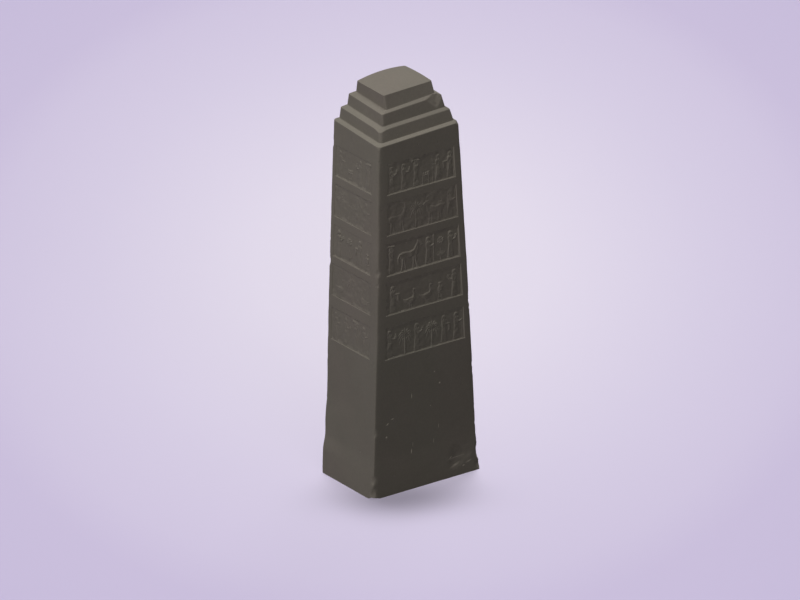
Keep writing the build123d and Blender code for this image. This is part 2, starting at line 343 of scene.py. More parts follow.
def block_grid():
    """The block's surface as rows of points, from the ground up to the ring round the dome's middle."""
    heights, sunk = shaft_rows()
    crown, cap_edge = crown_rows()
    rows = [np.array([z, *(shaft_half(z) + FOOT_SPREAD * max(0, 1 - z / FOOT_HEIGHT))]) for z in heights]
    rows += crown
    # the cap's side runs up to the dome, then the dome's rings close in on the middle
    start = rows[-1]
    dome_edge = start + (cap_edge - start) * DOME_START
    rows += [start + (dome_edge - start) * share for share in np.linspace(0, 1, CAP_SIDE_ROWS + 1)[1:]]
    crown_side = len(rows)
    rows += [np.array([HEIGHT, *(dome_edge[1:] * (1 - share))]) for share in DOME_RINGS]
    middle, half = np.array(rows)[:, 0], np.array(rows)[:, 1:]
    sunk = np.pad(sunk, (0, len(rows) - len(sunk)))

    on_dome = np.arange(len(middle)) >= crown_side
    first_stage = (middle > SHAFT_HEIGHT - 0.003) & (middle < SHAFT_HEIGHT + 0.08)
    settle = smooth_step(middle, SHAFT_HEIGHT, SHAFT_HEIGHT + LEDGES[0][2])
    upright = np.stack([middle * 0, middle * 0, middle], axis=-1)
    radii = []
    for corner in range(4):
        along_shaft = arris_radius(corner, middle)
        radius = along_shaft + (STAGE_RADII[corner] - along_shaft) * settle
        if corner == NEAR:
            radius = radius * (1 + NEAR_ROUNDER * first_stage)
        radius = radius * (1 + RADIUS_VARIES * noise(upright, 0.045, 20 + corner))
        radii.append(np.where(on_dome, half.min(axis=1) * DOME_CORNERS, radius))

    points = []
    for face, (along, outward) in enumerate(FACES):
        across, out = half[:, face % 2], half[:, 1 - face % 2]
        scale = across / SHOULDER_HALF[face % 2]
        borders = [np.where(middle > SHAFT_HEIGHT, at_shoulder * scale, border) for at_shoulder, border
                   in zip(face_border(face, np.array([SHAFT_HEIGHT])), face_border(face, middle))]
        near, far = radii[face], radii[(face + 1) % 4]
        s, dips = block_columns(face, across, (near, far), borders)
        inward = np.minimum(dips[None, :], sunk[:, None])
        points.append(along * s[..., None] + outward * (out[:, None] - inward)[..., None])
        centre = along * (across - far)[:, None] + outward * (out - far)[:, None]
        for angle in np.linspace(0, math.pi / 2, ARC_STEPS + 1)[1:-1]:
            spoke = outward * math.cos(angle) + along * math.sin(angle)
            points.append((centre + far[:, None] * spoke)[:, None, :])
    plan = np.concatenate(points, axis=1)
    levels = [level[0] for level in CROWN]
    for axis, shifts in enumerate(CROWN_SHIFTS):
        plan[..., axis] += np.interp(middle, levels, shifts)[:, None]
    z = middle[:, None] + (plan * lean_at(middle)[:, None, :]).sum(axis=-1)
    dome = cap_top(plan)
    cap_foot = CROWN[-2][0]
    foot_z = cap_foot + (plan * lean_at(cap_foot)).sum(axis=-1)
    share = np.clip((middle - cap_foot) / (dome_edge[0] - cap_foot), 0, 1)[:, None]
    side_drop, ring_drop = EDGE_DROPS
    z = np.where(middle[:, None] > cap_foot, foot_z + (dome - side_drop - foot_z) * share, z)
    worn_edge = ring_drop * np.exp(-np.arange(len(middle)) + crown_side)[:, None]
    z = np.where(on_dome[:, None], dome - worn_edge, z)
    return np.concatenate([plan, z[..., None]], axis=-1)


def pillowed(points):
    """Rounds the plain borders off towards the arrises, most along the near one, and swells the left foot."""
    x, y, z = points[..., 0], points[..., 1], points[..., 2]
    half = shaft_half(z)
    inset = half - np.abs(points[..., :2])
    top = SHAFT_HEIGHT + 0.004  # the borders are rounded up to here
    # the near arris is rounder from above the plain foot up to the shoulder
    upper = smooth_step(z, 0.55, 0.95) * smooth_step(top - z, 0.0, 0.01)
    everywhere, more, width = PILLOW
    drop = everywhere + more * ((x < 0) & (y < 0)) * upper
    moved = points.copy()
    for axis in (0, 1):
        beside = np.clip(1 - inset[..., 1 - axis] / width, 0, 1) ** 2
        on_face = smooth_step(-inset[..., axis], -0.02, -0.004)
        moved[..., axis] -= np.sign(points[..., axis]) * drop * beside * on_face * (z < top)
    swell = sum(out * smooth_step(-z, -high, -low) for out, high, low in FOOT_SWELLS)
    swell = np.maximum(swell - FOOT_SPREAD[0] * np.clip(1 - z / FOOT_HEIGHT, 0, 1), 0)
    beside = smooth_step(y, -0.1, 0.17) * smooth_step(-x, 0.1, 0.25)  # towards the back left arris
    moved[..., 0] -= swell * beside
    moved[..., 1] += 0.35 * swell * beside
    return moved


def grid_normals(points):
    """Outward normals of a grid that closes on itself across its columns."""
    around = np.roll(points, -1, axis=1) - np.roll(points, 1, axis=1)
    upward = np.gradient(points, axis=0)
    normal = np.cross(around, upward)
    return normal / np.maximum(np.linalg.norm(normal, axis=-1, keepdims=True), 1e-12)


def arris_point(corner, z):
    """The point of an arris's rounded edge at height z."""
    inset = arris_radius(corner, z) * (1 - math.sqrt(0.5))
    return np.array([*(SIGNS[corner] * (shaft_half(z) - inset)), z])


def crown_corner(level, corner):
    """A corner of one of the crown's levels, where its leaning edges meet."""
    z, *half = CROWN[level]
    (x, y), lean = SIGNS[corner] * half, lean_at(z)
    return x, y, z + lean[0] * x + lean[1] * y


def shell_scar(points, place, outward, length, bite):
    """Presses a shallow shell-shaped scar into the points."""
    radius = length**2 / (8 * bite) + bite / 2
    outward = np.array(outward, float)
    centre = np.array(place) + outward / np.linalg.norm(outward) * (radius - bite)
    away = points - centre
    distance = np.linalg.norm(away, axis=-1, keepdims=True)
    ragged = radius * (1 + 0.01 * noise(points, 0.012, 31)[..., None] * min(1.0, bite / 0.004))
    inside = distance < ragged
    return np.where(inside, centre + away / np.maximum(distance, 1e-9) * ragged, points)


def notch(points, apex):
    """Cuts a three-cornered spall, widest at the edge above it and closing at its apex below."""
    spine = np.array([0.0, math.sin(NOTCH_SLOPE), math.cos(NOTCH_SLOPE)])
    out = np.array([0.0, -math.cos(NOTCH_SLOPE), math.sin(NOTCH_SLOPE)])
    side = np.cross(spine, out)
    away = points - apex
    ragged = waves(points, NOTCH_ROUGHNESS)
    walls = [out * math.cos(angle) + side * math.sin(angle) for angle in NOTCH_WALLS]
    beyond = np.stack([away @ wall + ragged for wall in walls], axis=-1)
    nearer = beyond.argmin(axis=-1)
    depth = beyond.min(axis=-1)
    reach = (0.075, 0.06, STAGE_RISES[1] + 0.009)  # clear of the cap and of the other corners
    near = (np.abs(away) < reach).all(axis=-1) & (away[..., 2] > -0.004)
    push = np.array(walls)[nearer] * np.where(near, np.maximum(depth, 0), 0)[..., None]
    return points - push


def sagging_corner(points, corner, reach, drop):
    """Lets the edges round a corner sag towards it, as where it has worn away evenly."""
    away = np.hypot(points[..., 0] - corner[0], points[..., 1] - corner[1])
    share = np.clip(1 - away / reach, 0, 1) ** 2
    lower = points.copy()
    lower[..., 2] -= drop * (share * smooth_step(points[..., 2], corner[2] - 0.045, corner[2] + 0.004))
    return lower


def worn(points):
    """All the losses: the named scars, then small nicks scattered along the arrises."""
    for corner, z, length, bite in ARRIS_SCARS:
        points = shell_scar(points, arris_point(corner, z), (*SIGNS[corner], 0), length, bite)
    points = shell_scar(points, (LOW[0], LOW[1], 0.0), *FOOT_SCAR)
    for inward, up, length, bite in FOOT_SPALLS:
        half_width, half_depth = shaft_half(up) + FOOT_SPREAD * (1 - up / FOOT_HEIGHT)
        points = shell_scar(points, (half_width - inward, -half_depth, up), (0, -1, 0.12), length, bite)
    z, half_width, half_depth = CROWN[4]  # the second stage's top
    x, y = half_width - NOTCH_INSET, -half_depth
    lean, (shift_x, shift_y) = lean_at(z), [shifts[3] for shifts in CROWN_SHIFTS]
    apex = x + shift_x, y + shift_y - STAGE_BATTER, z + lean[0] * x + lean[1] * y - STAGE_RISES[1]
    points = notch(points, apex)
    first_stage = crown_corner(2, NEAR)
    points = sagging_corner(points, first_stage, *STAGE_SAG)
    points = shell_scar(points, first_stage, *STAGE_SCAR)
    points = shell_scar(points, crown_corner(0, FRONT_RIGHT), *SHOULDER_SCAR)
    chance = np.random.default_rng(7)
    for corner, low, high, count in NICKS:
        for z in np.sort(chance.uniform(low, high, count)):
            length, bite = chance.uniform(0.012, 0.03), chance.uniform(0.0008, 0.0024)
            turn = chance.uniform(-0.7, 0.7)
            x, y = SIGNS[corner]
            outward = (x * (1 + turn), y * (1 - turn), chance.uniform(-0.5, 0.5))
            points = shell_scar(points, arris_point(corner, z), outward, length, bite)
    return points


def make_block(material):
    """The whole stone but for what is carved in its registers."""
    points = pillowed(block_grid())
    points = points + grid_normals(points) * waves(points, SURFACE)[..., None]
    points[0, :, 2] = 0.0
    points = np.clip(worn(points), LOW, HIGH)
    index = np.arange(points.size // 3).reshape(points.shape[:2])
    beside = np.roll(index, -1, axis=1)
    faces = np.stack([index[:-1], beside[:-1], beside[1:], index[1:]], axis=-1).reshape(-1, 4).tolist()
    faces += fan(beside[0], index[0], index.size) + fan(index[-1], beside[-1], index.size + 1)
    ends = [[0, 0, points[0, :, 2].mean()], points[-1].mean(axis=0)]
    vertices = np.concatenate([points.reshape(-1, 3), ends])
    block = new_piece("stone_block", vertices, faces, material)
    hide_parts("monolith")


# ======== carving ========

class Carving:
    """A register's relief: heights over a grid of places on its field, as shares of the field's depth.

    Forms are given in a figure's own frame: its height is 1, it stands at x 0 on y 0 and faces +x.
    """

    def __init__(self, across, up, height):
        self.across, self.up, self.height = across, up, height

    def stand(self, place, size, facing):
        """Sets where the next figure stands, how tall it is in metres, and which way it faces."""
        self.size = size
        self.x = (self.across - place) / size * facing
        self.y = self.up / size

    def _lift(self, distance, level, edge):
        share = np.clip(-distance * self.size / edge, 0, 1)
        self.height = np.maximum(self.height, level * np.sqrt(1 - (1 - share) ** 2))

    def _to_segment(self, start, end):
        """How far every place is from a segment, and how far along it its nearest point lies."""
        (x0, y0), (run_x, run_y) = start, (end[0] - start[0], end[1] - start[1])
        share = ((self.x - x0) * run_x + (self.y - y0) * run_y) / (run_x**2 + run_y**2)
        share = np.clip(share, 0, 1)
        return np.hypot(self.x - x0 - share * run_x, self.y - y0 - share * run_y), share

    def _to_line(self, points, radii):
        nearest = np.inf
        for start, end, r0, r1 in zip(points, points[1:], radii, radii[1:]):
            gap, share = self._to_segment(start, end)
            nearest = np.minimum(nearest, gap - (r0 + (r1 - r0) * share))
        return nearest

    def limb(self, points, radii, level, edge=0.0042):
        """A rounded bar through the points, with a radius at each."""
        self._lift(self._to_line(points, radii), level, edge)

    def mound(self, x, y, radius_x, radius_y, level, edge=0.005):
        """A rounded oval."""
        away = np.hypot((self.x - x) / radius_x, (self.y - y) / radius_y)
        self._lift((away - 1) * min(radius_x, radius_y), level, edge)

    def plate(self, points, level, edge=0.005):
        """A flat form with this outline and soft edges."""
        gap, inside = np.inf, False
        for (x0, y0), (x1, y1) in zip(points, points[1:] + points[:1]):
            gap = np.minimum(gap, self._to_segment((x0, y0), (x1, y1))[0])
            if y0 != y1:
                crossing = x0 + (self.y - y0) * (x1 - x0) / (y1 - y0)
                inside ^= ((y0 > self.y) != (y1 > self.y)) & (self.x < crossing)
        self._lift(np.where(inside, -gap, gap), level, edge)

    def score(self, points, width, depth):
        """A groove along the points."""
        gap = self._to_line(points, [width] * len(points)) + width
        share = np.clip(1 - gap / width, 0, 1)
        self.height = np.maximum(self.height - depth * share, 0)


def bearer(c, load):
    """A walking attendant in a long fringed robe, in profile, with something carried."""
    c.limb([(-0.075, 0.022), (0.01, 0.018)], [0.022, 0.014], 0.6)
    c.limb([(0.06, 0.022), (0.145, 0.018)], [0.022, 0.014], 0.6)
    c.plate([(-0.135, 0.045), (0.125, 0.045), (0.095, 0.3), (0.072, 0.55), (0.105, 0.74), (0.075, 0.815),
             (-0.07, 0.815), (-0.105, 0.74), (-0.078, 0.55), (-0.11, 0.3)], 0.78)
    c.limb([(0.005, 0.8), (0.012, 0.86)], [0.035, 0.03], 0.7)
    c.mound(0.018, 0.905, 0.048, 0.06, 0.8)
    c.limb([(0.06, 0.905), (0.072, 0.89)], [0.01, 0.009], 0.66)
    c.mound(-0.018, 0.918, 0.056, 0.058, 0.95)
    c.limb([(-0.055, 0.895), (-0.068, 0.835)], [0.028, 0.026], 0.86)
    c.score([(-0.078, 0.555), (0.074, 0.555)], 0.014, 0.4)
    c.score([(-0.1, 0.77), (0.02, 0.62), (0.085, 0.36)], 0.012, 0.3)
    c.score([(-0.13, 0.105), (0.12, 0.105)], 0.012, 0.35)
    for step in range(6):
        x = -0.11 + 0.043 * step
        c.score([(x, 0.048), (x, 0.095)], 0.01, 0.35)
    reach = {
        "bowl": [(0.085, 0.64), (0.205, 0.7)], "jar": [(0.075, 0.66), (0.19, 0.64)],
        "staff": [(0.09, 0.62), (0.2, 0.665)], "bundle": [(0.08, 0.8), (0.045, 0.93)],
        "cloth": [(0.085, 0.65), (0.195, 0.655)],
    }
    c.limb([(0.02, 0.755), *reach[load]], [0.036, 0.031, 0.022], 1.0)
    if load == "bowl":
        c.plate([(0.15, 0.775), (0.29, 0.775), (0.255, 0.725), (0.185, 0.725)], 0.85)
        c.mound(0.22, 0.8, 0.048, 0.026, 0.7)
    elif load == "jar":
        c.mound(0.235, 0.69, 0.055, 0.075, 0.92)
        c.limb([(0.235, 0.755), (0.235, 0.79)], [0.022, 0.03], 0.8)
    elif load == "staff":
        c.limb([(0.215, 0.01), (0.215, 0.96)], [0.011, 0.013], 0.8)
        c.mound(0.215, 0.965, 0.026, 0.026, 0.9)
    elif load == "bundle":
        c.limb([(-0.14, 0.985), (0.11, 0.96)], [0.045, 0.04], 0.92)
        for x in (-0.08, 0.0, 0.07):
            c.score([(x, 0.91), (x, 1.04)], 0.01, 0.35)
    elif load == "cloth":
        c.plate([(0.165, 0.69), (0.275, 0.67), (0.265, 0.42), (0.235, 0.4), (0.2, 0.425), (0.17, 0.41)], 0.8)
        c.score([(0.205, 0.66), (0.205, 0.43)], 0.01, 0.3)
        c.score([(0.24, 0.65), (0.238, 0.42)], 0.01, 0.3)


def four_legs(c, fore, hind, top, stride):
    """Two pairs of walking legs with hooves, hung from the body's underside."""
    legs = ((fore, 1, 0.85), (fore - 0.05, -0.6, 0.612), (hind, -1, 0.85), (hind + 0.06, 0.7, 0.612))
    for root, share, level in legs:
        swing = stride * share
        knee, foot = (root + swing * 0.35, top * 0.52), (root + swing, 0.03)
        c.limb([(root, top), knee, foot], [0.0494, 0.0247, 0.0195], level)
        c.limb([(foot[0], 0.022), (foot[0] + 0.03, 0.018)], [0.02, 0.016], level)


def goat(c):
    """A standing long-horned goat."""
    four_legs(c, 0.17, -0.24, 0.42, 0.06)
    c.limb([(-0.25, 0.5), (-0.02, 0.47), (0.18, 0.52)], [0.115, 0.105, 0.115], 0.9, 0.008)
    c.limb([(0.2, 0.56), (0.3, 0.76)], [0.085, 0.05], 0.85, 0.006)
    c.limb([(0.3, 0.8), (0.42, 0.735)], [0.045, 0.024], 0.95)
    c.limb([(0.31, 0.83), (0.285, 0.94), (0.2, 1.0), (0.09, 0.985)], [0.022, 0.02, 0.017, 0.01], 0.9)
    c.limb([(0.275, 0.8), (0.215, 0.795)], [0.018, 0.01], 0.95)
    c.limb([(0.395, 0.71), (0.385, 0.655)], [0.014, 0.007], 0.75)
    c.limb([(-0.355, 0.55), (-0.405, 0.6)], [0.022, 0.012], 0.8)
    c.score([(0.13, 0.44), (0.2, 0.5), (0.15, 0.62)], 0.012, 0.25)
    c.score([(-0.2, 0.42), (-0.15, 0.5), (-0.19, 0.6)], 0.012, 0.25)


def ram(c):
    """A heavy ram with a curled horn and a combed fleece."""
    four_legs(c, 0.18, -0.26, 0.38, 0.04)
    c.limb([(-0.27, 0.5), (0, 0.5), (0.2, 0.52)], [0.155, 0.15, 0.15], 0.92, 0.009)
    c.limb([(0.22, 0.58), (0.31, 0.7)], [0.11, 0.075], 0.88, 0.007)
    c.limb([(0.33, 0.74), (0.44, 0.655)], [0.055, 0.028], 0.95)
    c.limb([(0.31, 0.81), (0.25, 0.79), (0.24, 0.71), (0.3, 0.675), (0.34, 0.72)],
           [0.03, 0.028, 0.024, 0.018, 0.01], 1.0)
    c.limb([(-0.41, 0.53), (-0.43, 0.38)], [0.035, 0.022], 0.8)
    for step in range(6):
        x = -0.32 + 0.085 * step
        c.score([(x, 0.4), (x + 0.02, 0.5), (x, 0.61)], 0.011, 0.28)


def horse(c):
    """A led horse with a plaited tail and a cropped mane."""
    four_legs(c, 0.2, -0.28, 0.46, 0.08)
    c.limb([(-0.28, 0.56), (-0.02, 0.54), (0.2, 0.57)], [0.125, 0.11, 0.125], 0.92, 0.009)
    c.limb([(0.22, 0.62), (0.33, 0.86)], [0.105, 0.06], 0.88, 0.007)
    c.limb([(0.34, 0.9), (0.47, 0.77)], [0.052, 0.028], 0.96)
    c.limb([(0.325, 0.95), (0.315, 0.995)], [0.016, 0.008], 0.9)
    c.limb([(-0.4, 0.62), (-0.47, 0.5), (-0.47, 0.3)], [0.03, 0.032, 0.02], 0.85)
    c.score([(0.17, 0.72), (0.25, 0.9)], 0.012, 0.4)
    c.score([(0.385, 0.895), (0.345, 0.83)], 0.01, 0.4)
    for step in range(4):
        y = 0.36 + 0.055 * step
        c.score([(-0.5, y), (-0.44, y + 0.02)], 0.009, 0.35)


def goose(c):
    """A walking goose."""
    c.limb([(-0.16, 0.33), (0, 0.3), (0.1, 0.34)], [0.06, 0.115, 0.095], 0.9, 0.007)
    c.limb([(0.12, 0.38), (0.155, 0.5), (0.12, 0.6), (0.15, 0.67)], [0.055, 0.034, 0.03, 0.036], 0.85)
    c.limb([(0.165, 0.675), (0.235, 0.655)], [0.026, 0.009], 0.8)
    c.limb([(-0.2, 0.35), (-0.275, 0.4)], [0.038, 0.012], 0.8)
    for x in (-0.03, 0.05):
        c.limb([(x, 0.21), (x + 0.005, 0.04)], [0.016, 0.014], 0.75)
        c.limb([(x, 0.022), (x + 0.055, 0.018)], [0.016, 0.01], 0.75)
    c.score([(0.05, 0.36), (-0.08, 0.3), (-0.21, 0.33)], 0.012, 0.35)
    c.score([(0.03, 0.28), (-0.09, 0.245), (-0.17, 0.28)], 0.01, 0.3)


def palm(c):
    """A date palm with drooping fronds and two bunches of fruit."""
    c.limb([(0, 0.0), (0, 0.66)], [0.04, 0.03], 0.85)
    for step in range(9):
        y = 0.06 + 0.066 * step
        c.score([(-0.045, y + 0.018), (0, y), (0.045, y + 0.018)], 0.01, 0.4)
    for turn in range(-4, 5):
        angle = math.radians(90 - 31 * turn)
        reach_x, reach_y = math.cos(angle), math.sin(angle)
        droop = 0.03 + 0.018 * abs(turn)
        tip = (0.27 * reach_x, 0.7 + 0.27 * reach_y - droop * 1.8)
        bend = (0.16 * reach_x, 0.7 + 0.175 * reach_y)
        c.limb([(0, 0.68), bend, tip], [0.022, 0.03, 0.012], 0.8 - 0.03 * abs(turn))
    for x in (-0.075, 0.075):
        c.mound(x, 0.555, 0.032, 0.052, 0.9)
    c.mound(0, 0.7, 0.045, 0.04, 1.0)


def vase(c):
    """A tall vessel on a stand."""
    for side in (-1, 1):
        c.limb([(0.09 * side, 0.01), (0.035 * side, 0.28)], [0.014, 0.014], 0.75)
    c.limb([(-0.075, 0.14), (0.075, 0.14)], [0.012, 0.012], 0.7)
    c.limb([(-0.075, 0.285), (0.075, 0.285)], [0.016, 0.016], 0.85)
    c.mound(0, 0.425, 0.098, 0.128, 0.95)
    c.limb([(0, 0.54), (0, 0.615)], [0.036, 0.05], 0.85)
    c.limb([(-0.06, 0.635), (0.06, 0.635)], [0.014, 0.014], 0.95)
    c.score([(-0.09, 0.455), (0.09, 0.455)], 0.011, 0.35)
    c.score([(-0.09, 0.395), (0.09, 0.395)], 0.011, 0.35)


def altar(c):
    """A table with loaves and a cup."""
    c.plate([(-0.15, 0.33), (0.15, 0.33), (0.15, 0.375), (-0.15, 0.375)], 0.9)
    for x in (-0.11, 0.11):
        c.limb([(x, 0.34), (x * 1.15, 0.01)], [0.018, 0.022], 0.8)
    c.limb([(-0.12, 0.15), (0.12, 0.15)], [0.012, 0.012], 0.7)
    for x in (-0.09, 0.0):
        c.mound(x, 0.415, 0.042, 0.036, 0.85)
    c.plate([(0.065, 0.375), (0.125, 0.375), (0.145, 0.47), (0.045, 0.47)], 0.8)


def rosette(c):
    """An eight-petalled flower, set above a low shrub."""
    for turn in range(8):
        angle = math.radians(45 * turn + 22.5)
        x, y = math.cos(angle), math.sin(angle)
        c.limb([(0.045 * x, 0.74 + 0.045 * y), (0.095 * x, 0.74 + 0.095 * y)], [0.012, 0.034], 0.85)
    c.mound(0, 0.74, 0.034, 0.034, 1.0)
    c.limb([(0, 0.0), (0, 0.44)], [0.018, 0.014], 0.7)
    for turn in (-3, -2, -1, 1, 2, 3):
        reach = 0.04 * turn
        c.limb([(0, 0.1 + 0.02 * abs(turn)), (reach, 0.24), (reach * 1.35, 0.4 - 0.03 * abs(turn))],
               [0.012, 0.016, 0.008], 0.72)


# motif, the width that it takes, and how far it stands back for what it holds out, in figure heights
MOTIFS = {
    "bowl": (bearer, 0.5, 0.06), "jar": (bearer, 0.5, 0.06), "staff": (bearer, 0.46, 0.06),
    "bundle": (bearer, 0.38, 0), "cloth": (bearer, 0.5, 0.06), "goat": (goat, 0.92, 0),
    "ram": (ram, 0.96, 0), "horse": (horse, 1.06, 0), "goose": (goose, 0.56, 0),
    "palm": (palm, 0.56, 0), "vase": (vase, 0.3, 0), "altar": (altar, 0.4, 0),
    "rosette": (rosette, 0.36, 0),
}

# what stands in each register of each face, top register first; a minus turns a figure round
LAYOUT = (
    ("bowl jar bundle altar -staff -cloth", "goat palm -goat staff", "bundle horse staff -rosette bowl",
     "cloth goose goose vase -bowl", "jar palm bowl palm cloth staff"),
    ("staff bowl vase -jar", "ram palm bundle", "goose rosette -goose", "bundle bowl jar cloth",
     "goat -staff palm"),
    ("palm staff jar palm -cloth", "horse bundle rosette -ram", "bowl vase cloth vase -jar",
     "staff goat -palm bundle bowl", "goose bowl staff altar -bundle"),
    ("cloth altar -jar -bundle", "palm goat staff", "bowl rosette -cloth vase", "goose palm -goose",
     "staff jar bundle bowl"),
)


def carve(face, register, across, up, width, height):
    """The relief of one register, as heights above its sunk field in shares of the field's depth."""
    top, left, foot, right = SIDE_FIELD_EASES if face % 2 else FIELD_EASES
    soft = smooth_step(np.minimum((height - up) / top, (across + width / 2) / left), 0, 1)
    place = np.stack([across, up, np.full_like(up, face + 0.2 * register)], axis=-1)
    waver = waves(place, RIM_WAVER)
    if face % 2:  # the narrow faces' foot edges are crisp only in places
        foot = foot * (1 + 3.5 * np.clip(noise(place, 0.03, 53) + 0.25, 0, 1))
    crisp = np.clip(np.minimum((up + waver) / foot, (width / 2 - across + waver) / right), 0, 1)
    carving = Carving(across, up, BORDER_LEVEL * (1 - np.minimum(soft, crisp)))
    words = LAYOUT[face][register].split()
    size = height * FIGURE_HEIGHT
    spare = width - sum(MOTIFS[word.lstrip("-")][1] for word in words) * size
    gap = spare / (len(words) + 1)
    at = -width / 2 + gap
    for word in words:
        facing = -1 if word.startswith("-") else 1
        word = word.lstrip("-")
        motif, take, back = MOTIFS[word]
        at += take * size / 2
        carving.stand(at - back * size * facing, size, facing)
        motif(carving, word) if motif is bearer else motif(carving)
        at += take * size / 2 + gap
    return carving.height


def soften(height):
    """Weathers a height field by averaging each place with its neighbours."""
    padded = np.pad(height, 1, mode="edge")
    beside = padded[:-2, 1:-1] + padded[2:, 1:-1] + padded[1:-1, :-2] + padded[1:-1, 2:]
    return (beside + 4 * height) / 8


def make_field(face, register, material):
    """One register's sunk field with its figures, a slab let into the block's pocket."""
    low, high = REGISTERS[register]
    along, outward = FACES[face]
    rows = round((high - low) / FIELD_STEP) + 1
    z = np.linspace(low, high, rows)
    start, end = face_border(face, z)
    width = (end - start).mean()
    columns = round(width / FIELD_STEP) + 1
    s = start[:, None] + (end - start)[:, None] * np.linspace(0, 1, columns)
    middle = ((start + end) / 2)[:, None]
    z = np.repeat(z[:, None], columns, axis=1)
    relief = carve(face, register, s - middle, z - low, width, high - low)
    relief = BORDER_LEVEL - (BORDER_LEVEL - soften(relief)) * KEPT[face % 2][register]
    out = shaft_half(z)[..., 1 - face % 2]
    plan = along * s[..., None] + outward * (out - SINK)[..., None]
    points = np.concatenate([plan, z[..., None]], axis=-1)
    normal = np.array([*outward, 0.0])
    left = 1.0
    for share, size, seed in WEAR:
        left = left - share * (1 + noise(points, size, seed))
    left = np.clip(left, LEAST_LEFT, 1)
    if face % 2:
        left += (1 - left) * np.clip(1 - (high - z) / FLUSH_RIM, 0, 1)
    dressed = waves(points, SURFACE + TOOL_MARKS)
    front = points + normal * (relief * SINK * left + dressed)[..., None]
    index = np.arange(z.size).reshape(z.shape)
    quads = np.stack([index[:-1, :-1], index[:-1, 1:], index[1:, 1:], index[1:, :-1]], axis=-1)
    rim = np.concatenate([index[0, :-1], index[:-1, -1], index[-1, :0:-1], index[:0:-1, 0]])
    beside = np.roll(rim, -1)
    rear = points.reshape(-1, 3)[rim] - normal * (POCKET + SLAB_BACK)
    ring = index.size + np.arange(len(rim))
    after = np.roll(ring, -1)
    faces = quads.reshape(-1, 4).tolist() + np.stack([beside, rim, ring, after], axis=-1).tolist()
    faces += fan(after, ring, index.size + len(rim))
    vertices = np.concatenate([front.reshape(-1, 3), rear, [rear.mean(axis=0)]])
    name = "register_%s_%d" % (("front", "right", "back", "left")[face], register + 1)
    piece = new_piece(name, vertices, faces, material, sharp_angle=60.0)
    heights = np.zeros(len(vertices), np.float32)
    heights[:index.size] = (relief * left).ravel() * (SIDE_CRISPNESS if face % 2 else 1)
    piece.data.attributes.new("relief", "FLOAT", "POINT").data.foreach_set("value", heights)


# ======== stone ========

class Nodes:
    """A short way to add and join the nodes of a material or a world."""

    def __init__(self, owner):
        owner.use_nodes = True
        self.tree = owner.node_tree
        self.tree.nodes.clear()

    def add(self, kind, inputs=(), **settings):
        """Outputs of a new node of this kind. Each input is a plain value or another node's output."""
        node = self.tree.nodes.new("ShaderNode" + kind)
        for key, value in settings.items():
            setattr(node, key, value)
        for key, value in dict(inputs).items():
            if isinstance(value, bpy.types.NodeSocket):
                self.tree.links.new(value, node.inputs[key])
            else:
                node.inputs[key].default_value = value
        return node.outputs

    def math(self, operation, *values):
        return self.add("Math", dict(enumerate(values)), operation=operation)["Value"]

    def vector(self, operation, *values, output="Value"):
        return self.add("VectorMath", dict(enumerate(values)), operation=operation)[output]

    def remap(self, value, from_min, from_max, to_min, to_max):
        return self.add("MapRange", {"Value": value, "From Min": from_min, "From Max": from_max,
                                     "To Min": to_min, "To Max": to_max})["Result"]

    def cloud(self, place, scale, detail, roughness, distortion=0.0):
        return self.add("TexNoise", {"Vector": place, "Scale": scale, "Detail": detail,
                                     "Roughness": roughness, "Distortion": distortion})["Fac"]

    def bump(self, height, strength, distance, **more):
        more.update(Height=height, Strength=strength, Distance=distance)
        return self.add("Bump", more)["Normal"]

    def ramp(self, factor, stops):
        colour = self.add("ValToRGB", {"Fac": factor})["Color"]
        elements = colour.node.color_ramp.elements
        while len(elements) < len(stops):
            elements.new(0.5)
        for element, (position, shade) in zip(elements, stops):
            element.position = position
            element.color = (*shade, 1.0)
        return colour

    def shaded(self, colour, grey):
        """The colour times a grey."""
        grey = self.add("CombineColor", {"Red": grey, "Green": grey, "Blue": grey})["Color"]
        return self.multiply(colour, grey)

    def multiply(self, first, second):
        return self.add("Mix", {0: 1.0, 6: first, 7: second}, data_type="RGBA", blend_type="MULTIPLY")[2]


LOW_SHADE = 0.84  # brightness of the lower half against the upper
# pits and scratches of the front face: place along X and up, half length and half width in millimetres,
# angle from level in degrees, depth as a share of the deepest
FRONT_MARKS = (
    (58, 558, 5, 4.5, 0, 0.7), (86, 495, 6.5, 5, 20, 1.0), (-73, 468, 17, 3, 88, 0.8),
    (33, 392, 5, 4, 0, 0.4), (-183, 380, 11, 3.5, 5, 0.8), (-211, 360, 12, 4, 35, 0.9),
    (-218, 296, 6.5, 5.5, 40, 1.0), (77, 279, 15, 3, 86, 0.5), (48, 211, 16, 3, 85, 0.4),
    (-78, 190, 15, 3.6, 84, 1.0), (-70, 222, 15, 3, 88, 0.4), (142, 100, 12, 4.5, 32, 0.6),
    (166, 58, 36, 8.5, 19, 0.45), (213, 43, 9, 5, 15, 0.6), (242, 58, 22, 6.5, 15, 0.45),
    (170, 94, 60, 3, 2, 0.35),
)


def front_marks(n, place):
    """Depth of the front face's pits and scratches, from 0 to 1."""
    deepest = 0.0
    for *sizes, angle, depth in FRONT_MARKS:
        x, z, length, width = (size / 1000 for size in sizes)
        turn = math.radians(angle)
        away = n.vector("SUBTRACT", place, (x, 0, z), output="Vector")
        along = n.vector("DOT_PRODUCT", away, (math.cos(turn) / length, 0, math.sin(turn) / length))
        over = n.vector("DOT_PRODUCT", away, (-math.sin(turn) / width, 0, math.cos(turn) / width))
        plan = n.add("CombineXYZ", {0: along, 1: over})["Vector"]
        shape = n.remap(n.vector("LENGTH", plan), 0.15, 1.0, depth, 0.0)
        deepest = n.math("MAXIMUM", deepest, shape)
    in_front = n.math("LESS_THAN", n.add("SeparateXYZ", {"Vector": place})["Y"], 0.0)
    return n.math("MULTIPLY", deepest, in_front)


